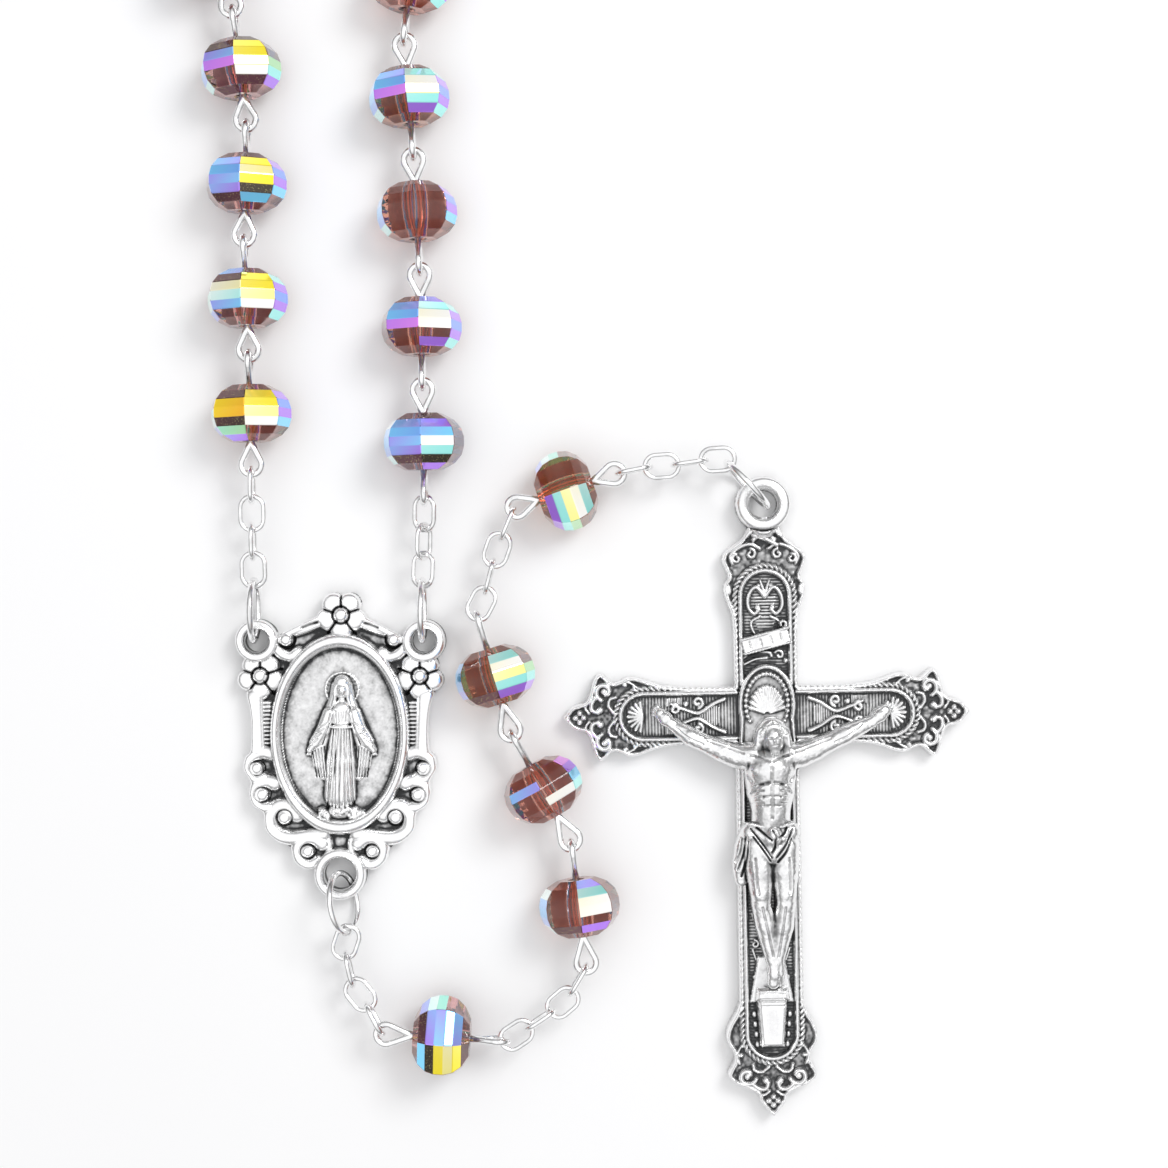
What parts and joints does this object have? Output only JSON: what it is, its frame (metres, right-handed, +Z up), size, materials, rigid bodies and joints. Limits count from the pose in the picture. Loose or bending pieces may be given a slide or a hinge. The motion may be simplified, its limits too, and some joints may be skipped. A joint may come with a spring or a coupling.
{
  "type": "rosary",
  "caption": "Rosary: a closed loop of faceted glass beads on silver eye pins and chain, an oval centre medal, and a short pendant ending in a crucifix, lying flat.",
  "frame": {"origin": "the middle of the oval centre medal, on its flat back, which is the plane of the table that the rosary lies on", "axes": "+Z up from the table; +Y along the medal from its foot eye toward the two side eyes and on up the loop; +X to the right, toward the crucifix"},
  "size_m": [0.1582, 0.2927, 0.0067],
  "materials": {
    "amethyst_glass": "gloss",
    "silver_wire": "polished",
    "oxidised_silver": "satin"
  },
  "bodies": {
    "bead_ave_1": {"bead_ave_1": "amethyst_glass"},
    "bead_ave_2": {"bead_ave_2": "amethyst_glass"},
    "bead_ave_3": {"bead_ave_3": "amethyst_glass"},
    "bead_gloria": {"bead_gloria": "amethyst_glass"},
    "bead_pater_1": {"bead_pater_1": "amethyst_glass"},
    "centre_medal": {"centre_medal": "oxidised_silver"},
    "chain_10": {"chain_10": "silver_wire"},
    "chain_3": {"chain_3": "silver_wire"},
    "chain_4": {"chain_4": "silver_wire"},
    "chain_5": {"chain_5": "silver_wire"},
    "chain_8": {"chain_8": "silver_wire"},
    "chain_9": {"chain_9": "silver_wire"},
    "crucifix": {"crucifix_corpus": "oxidised_silver", "crucifix_cross": "oxidised_silver"},
    "crucifix_jump_ring": {"crucifix_jump_ring": "silver_wire"},
    "decade_1": {"decade_1_beads": "amethyst_glass", "decade_1_pins": "silver_wire"},
    "decade_2": {"decade_2_beads": "amethyst_glass", "decade_2_pins": "silver_wire"},
    "top_arc": {"decade_3_beads": "amethyst_glass", "decade_3_pins": "silver_wire", "top_chains": "silver_wire"},
    "decade_4": {"decade_4_beads": "amethyst_glass", "decade_4_pins": "silver_wire"},
    "decade_5": {"decade_5_beads": "amethyst_glass", "decade_5_pins": "silver_wire"},
    "left_chain": {"left_chain": "silver_wire"},
    "left_jump_ring": {"left_jump_ring": "silver_wire"},
    "link_a_1": {"link_a_1": "silver_wire"},
    "link_a_2": {"link_a_2": "silver_wire"},
    "link_a_3": {"link_a_3": "silver_wire"},
    "link_a_4": {"link_a_4": "silver_wire"},
    "link_b_1": {"link_b_1": "silver_wire"},
    "link_b_2": {"link_b_2": "silver_wire"},
    "link_b_3": {"link_b_3": "silver_wire"},
    "link_b_4": {"link_b_4": "silver_wire"},
    "link_c_1": {"link_c_1": "silver_wire"},
    "link_c_2": {"link_c_2": "silver_wire"},
    "link_c_3": {"link_c_3": "silver_wire"},
    "link_c_4": {"link_c_4": "silver_wire"},
    "link_d_1": {"link_d_1": "silver_wire"},
    "link_d_2": {"link_d_2": "silver_wire"},
    "link_d_3": {"link_d_3": "silver_wire"},
    "link_d_4": {"link_d_4": "silver_wire"},
    "pater_2": {"pater_2_bead": "amethyst_glass", "pater_2_pin": "silver_wire"},
    "pater_3": {"pater_3_bead": "amethyst_glass", "pater_3_pin": "silver_wire"},
    "pater_4": {"pater_4_bead": "amethyst_glass", "pater_4_pin": "silver_wire"},
    "pater_5": {"pater_5_bead": "amethyst_glass", "pater_5_pin": "silver_wire"},
    "pendant_jump_ring": {"pendant_jump_ring": "silver_wire"},
    "pin_ave_1": {"pin_ave_1": "silver_wire"},
    "pin_ave_2": {"pin_ave_2": "silver_wire"},
    "pin_ave_3": {"pin_ave_3": "silver_wire"},
    "pin_gloria": {"pin_gloria": "silver_wire"},
    "pin_pater_1": {"pin_pater_1": "silver_wire"},
    "right_chain": {"right_chain": "silver_wire"},
    "right_jump_ring": {"right_jump_ring": "silver_wire"}
  },
  "joints": [
    {"name": "pendant_jump_ring_swing", "type": "hinge", "parent": "centre_medal", "child": "pendant_jump_ring", "pos_m": [0.00034, -0.01375, 0.0015], "axis": [0.9816, 0.1908, 0], "range_deg": [-20, 20]},
    {"name": "link_a_1_turn", "type": "hinge", "parent": "pendant_jump_ring", "child": "link_a_1", "pos_m": [0.00093, -0.01679, 0.00267], "axis": [-0.3357, -0.0653, 0.9397], "range_deg": [-18, 3]},
    {"name": "link_a_2_swing", "type": "hinge", "parent": "link_a_1", "child": "link_a_2", "pos_m": [0.00071, -0.01903, 0.0025], "axis": [-0.9744, -0.225, 0], "range_deg": [-30, 30]},
    {"name": "link_a_3_turn", "type": "hinge", "parent": "link_a_2", "child": "link_a_3", "pos_m": [0.00125, -0.02135, 0.0025], "axis": [0, 0, -1], "range_deg": [-3, 18]},
    {"name": "link_a_4_swing", "type": "hinge", "parent": "link_a_3", "child": "link_a_4", "pos_m": [0.00264, -0.02328, 0.0027], "axis": [0.866, 0.5, 0], "range_deg": [-30, 30]},
    {"name": "pin_pater_1_turn", "type": "hinge", "parent": "link_a_4", "child": "pin_pater_1", "pos_m": [0.00381, -0.02531, 0.00316], "axis": [-0.0969, 0.1679, 0.981], "range_deg": [-18, 3]},
    {"name": "link_b_1_turn", "type": "hinge", "parent": "pin_pater_1", "child": "link_b_1", "pos_m": [0.01442, -0.02586, 0.00316], "axis": [0, 0, -1], "range_deg": [-3, 18]},
    {"name": "link_b_2_swing", "type": "hinge", "parent": "link_b_1", "child": "link_b_2", "pos_m": [0.01635, -0.02464, 0.0028], "axis": [0.5446, -0.8387, 0], "range_deg": [-30, 30]},
    {"name": "link_b_3_turn", "type": "hinge", "parent": "link_b_2", "child": "link_b_3", "pos_m": [0.01835, -0.02334, 0.0026], "axis": [0.0702, 0.0456, 0.9965], "range_deg": [-18, 3]},
    {"name": "link_b_4_swing", "type": "hinge", "parent": "link_b_3", "child": "link_b_4", "pos_m": [0.0199, -0.02157, 0.0028], "axis": [-0.866, 0.5, 0], "range_deg": [-30, 30]},
    {"name": "pin_ave_1_turn", "type": "hinge", "parent": "link_b_4", "child": "pin_ave_1", "pos_m": [0.02108, -0.01953, 0.00316], "axis": [0.076, 0.1317, -0.9884], "range_deg": [-3, 18]},
    {"name": "pin_ave_2_turn", "type": "hinge", "parent": "pin_ave_1", "child": "pin_ave_2", "pos_m": [0.01978, -0.00898, 0.00316], "axis": [0, 0, 1], "range_deg": [-18, 3]},
    {"name": "pin_ave_3_turn", "type": "hinge", "parent": "pin_ave_2", "child": "pin_ave_3", "pos_m": [0.01467, 0.00025, 0.00316], "axis": [0, 0, -1], "range_deg": [-3, 18]},
    {"name": "link_c_1_turn", "type": "hinge", "parent": "pin_ave_3", "child": "link_c_1", "pos_m": [0.01176, 0.01039, 0.00316], "axis": [0, 0, 1], "range_deg": [-6, 14]},
    {"name": "link_c_2_swing", "type": "hinge", "parent": "link_c_1", "child": "link_c_2", "pos_m": [0.01259, 0.0125, 0.0028], "axis": [0.9703, -0.2419, 0], "range_deg": [-30, 30]},
    {"name": "link_c_3_turn", "type": "hinge", "parent": "link_c_2", "child": "link_c_3", "pos_m": [0.01317, 0.01481, 0.0026], "axis": [-0.0202, -0.0812, -0.9965], "range_deg": [-14, 6]},
    {"name": "link_c_4_swing", "type": "hinge", "parent": "link_c_3", "child": "link_c_4", "pos_m": [0.01401, 0.01704, 0.0028], "axis": [-0.9205, 0.3907, 0], "range_deg": [-30, 30]},
    {"name": "pin_gloria_turn", "type": "hinge", "parent": "link_c_4", "child": "pin_gloria", "pos_m": [0.01493, 0.01922, 0.00316], "axis": [-0.0594, -0.14, 0.9884], "range_deg": [-6, 14]},
    {"name": "link_d_1_swing", "type": "hinge", "parent": "pin_gloria", "child": "link_d_1", "pos_m": [0.02425, 0.0223, 0.00316], "axis": [0.1908, -0.9816, 0], "range_deg": [-30, 30]},
    {"name": "link_d_2_turn", "type": "hinge", "parent": "link_d_1", "child": "link_d_2", "pos_m": [0.02651, 0.02274, 0.0029], "axis": [-0.1117, -0.0217, -0.9935], "range_deg": [-24, 6]},
    {"name": "link_d_3_swing", "type": "hinge", "parent": "link_d_2", "child": "link_d_3", "pos_m": [0.02888, 0.02297, 0.00275], "axis": [-0.1392, 0.9903, 0], "range_deg": [-30, 30]},
    {"name": "link_d_4_turn", "type": "hinge", "parent": "link_d_3", "child": "link_d_4", "pos_m": [0.03125, 0.0233, 0.00275], "axis": [0, 0, 1], "range_deg": [-6, 24]},
    {"name": "crucifix_jump_ring_swing", "type": "hinge", "parent": "link_d_4", "child": "crucifix_jump_ring", "pos_m": [0.03332, 0.02269, 0.00282], "axis": [-0.7314, -0.682, 0], "range_deg": [-30, 30]},
    {"name": "crucifix_swing", "type": "hinge", "parent": "crucifix_jump_ring", "child": "crucifix", "pos_m": [0.03495, 0.02094, 0.0017], "axis": [0.7314, 0.682, 0], "range_deg": [-30, 30]},
    {"name": "bead_pater_1_spin", "type": "hinge", "parent": "pin_pater_1", "child": "bead_pater_1", "pos_m": [0.00882, -0.02557, 0.00316], "axis": [0.9986, -0.0523, 0], "continuous": true},
    {"name": "bead_ave_1_spin", "type": "hinge", "parent": "pin_ave_1", "child": "bead_ave_1", "pos_m": [0.02047, -0.01454, 0.00316], "axis": [-0.1219, 0.9925, 0], "continuous": true},
    {"name": "bead_ave_2_spin", "type": "hinge", "parent": "pin_ave_2", "child": "bead_ave_2", "pos_m": [0.01739, -0.00466, 0.00316], "axis": [-0.4848, 0.8746, 0], "continuous": true},
    {"name": "bead_ave_3_spin", "type": "hinge", "parent": "pin_ave_3", "child": "bead_ave_3", "pos_m": [0.0133, 0.005, 0.00316], "axis": [-0.2756, 0.9613, 0], "continuous": true},
    {"name": "bead_gloria_spin", "type": "hinge", "parent": "pin_gloria", "child": "bead_gloria", "pos_m": [0.0193, 0.02072, 0.00316], "axis": [0.9455, 0.3256, 0], "continuous": true},
    {"name": "left_jump_ring_fold", "type": "hinge", "parent": "centre_medal", "child": "left_jump_ring", "pos_m": [-0.00715, 0.00937, 0.0015], "axis": [1, 0, 0], "range_deg": [-12, 12]},
    {"name": "right_jump_ring_fold", "type": "hinge", "parent": "centre_medal", "child": "right_jump_ring", "pos_m": [0.00715, 0.00937, 0.0015], "axis": [1, 0, 0], "range_deg": [-12, 12]},
    {"name": "left_chain_fold", "type": "hinge", "parent": "left_jump_ring", "child": "left_chain", "pos_m": [-0.00715, 0.01282, 0.00282], "axis": [-1, 0, 0], "range_deg": [-16, 16]},
    {"name": "right_chain_fold", "type": "hinge", "parent": "right_jump_ring", "child": "right_chain", "pos_m": [0.00715, 0.01282, 0.00282], "axis": [-1, 0, 0], "range_deg": [-16, 16]},
    {"name": "decade_5_fold", "type": "hinge", "parent": "left_chain", "child": "decade_5", "pos_m": [-0.00731, 0.02236, 0.00316], "axis": [0.9869, -0.1611, 0], "range_deg": [-16, 16]},
    {"name": "decade_1_fold", "type": "hinge", "parent": "right_chain", "child": "decade_1", "pos_m": [0.00733, 0.01997, 0.00316], "axis": [0.9869, -0.1611, 0], "range_deg": [-16, 16]},
    {"name": "chain_10_fold", "type": "hinge", "parent": "decade_5", "child": "chain_10", "pos_m": [-0.04145, 0.10915, 0.00316], "axis": [-0.9999, 0.0165, 0], "range_deg": [-14, 14]},
    {"name": "chain_3_fold", "type": "hinge", "parent": "decade_1", "child": "chain_3", "pos_m": [0.03436, 0.1079, 0.00316], "axis": [-0.9999, 0.0165, 0], "range_deg": [-14, 14]},
    {"name": "pater_5_fold", "type": "hinge", "parent": "chain_10", "child": "pater_5", "pos_m": [-0.04822, 0.11579, 0.00316], "axis": [0.9999, -0.0143, 0], "range_deg": [-14, 14]},
    {"name": "pater_2_fold", "type": "hinge", "parent": "chain_3", "child": "pater_2", "pos_m": [0.04117, 0.11451, 0.00316], "axis": [0.9999, -0.0143, 0], "range_deg": [-14, 14]},
    {"name": "chain_9_fold", "type": "hinge", "parent": "pater_5", "child": "chain_9", "pos_m": [-0.05488, 0.12291, 0.00316], "axis": [-0.9999, 0.0134, 0], "range_deg": [-14, 14]},
    {"name": "chain_4_fold", "type": "hinge", "parent": "pater_2", "child": "chain_4", "pos_m": [0.04793, 0.12154, 0.00316], "axis": [-0.9999, 0.0134, 0], "range_deg": [-14, 14]},
    {"name": "decade_4_fold", "type": "hinge", "parent": "chain_9", "child": "decade_4", "pos_m": [-0.06069, 0.13041, 0.00316], "axis": [0.9999, -0.0144, 0], "range_deg": [-14, 14]},
    {"name": "decade_2_fold", "type": "hinge", "parent": "chain_4", "child": "decade_2", "pos_m": [0.05409, 0.12875, 0.00316], "axis": [0.9999, -0.0144, 0], "range_deg": [-14, 14]},
    {"name": "chain_8_fold", "type": "hinge", "parent": "decade_4", "child": "chain_8", "pos_m": [-0.06348, 0.22238, 0.00316], "axis": [-0.9997, 0.0225, 0], "range_deg": [-14, 14]},
    {"name": "chain_5_fold", "type": "hinge", "parent": "decade_2", "child": "chain_5", "pos_m": [0.06642, 0.21946, 0.00316], "axis": [-0.9997, 0.0225, 0], "range_deg": [-14, 14]},
    {"name": "pater_4_fold", "type": "hinge", "parent": "chain_8", "child": "pater_4", "pos_m": [-0.05786, 0.23002, 0.00316], "axis": [0.9997, -0.0228, 0], "range_deg": [-14, 14]},
    {"name": "pater_3_fold", "type": "hinge", "parent": "chain_5", "child": "pater_3", "pos_m": [0.06109, 0.2273, 0.00316], "axis": [0.9997, -0.0228, 0], "range_deg": [-14, 14]},
    {"name": "top_arc_fold", "type": "hinge", "parent": "pater_4", "child": "top_arc", "pos_m": [-0.05116, 0.2371, 0.00316], "axis": [-0.9997, 0.0238, 0], "range_deg": [-14, 14]}
  ],
  "couplings": [
    {"joint": "right_jump_ring_fold", "follows": "left_jump_ring_fold", "ratio": 1},
    {"joint": "right_chain_fold", "follows": "left_chain_fold", "ratio": 1},
    {"joint": "decade_1_fold", "follows": "decade_5_fold", "ratio": 1},
    {"joint": "chain_3_fold", "follows": "chain_10_fold", "ratio": 1},
    {"joint": "pater_2_fold", "follows": "pater_5_fold", "ratio": 1},
    {"joint": "chain_4_fold", "follows": "chain_9_fold", "ratio": 1},
    {"joint": "decade_2_fold", "follows": "decade_4_fold", "ratio": 1},
    {"joint": "chain_5_fold", "follows": "chain_8_fold", "ratio": 1},
    {"joint": "pater_3_fold", "follows": "pater_4_fold", "ratio": 1}
  ]
}
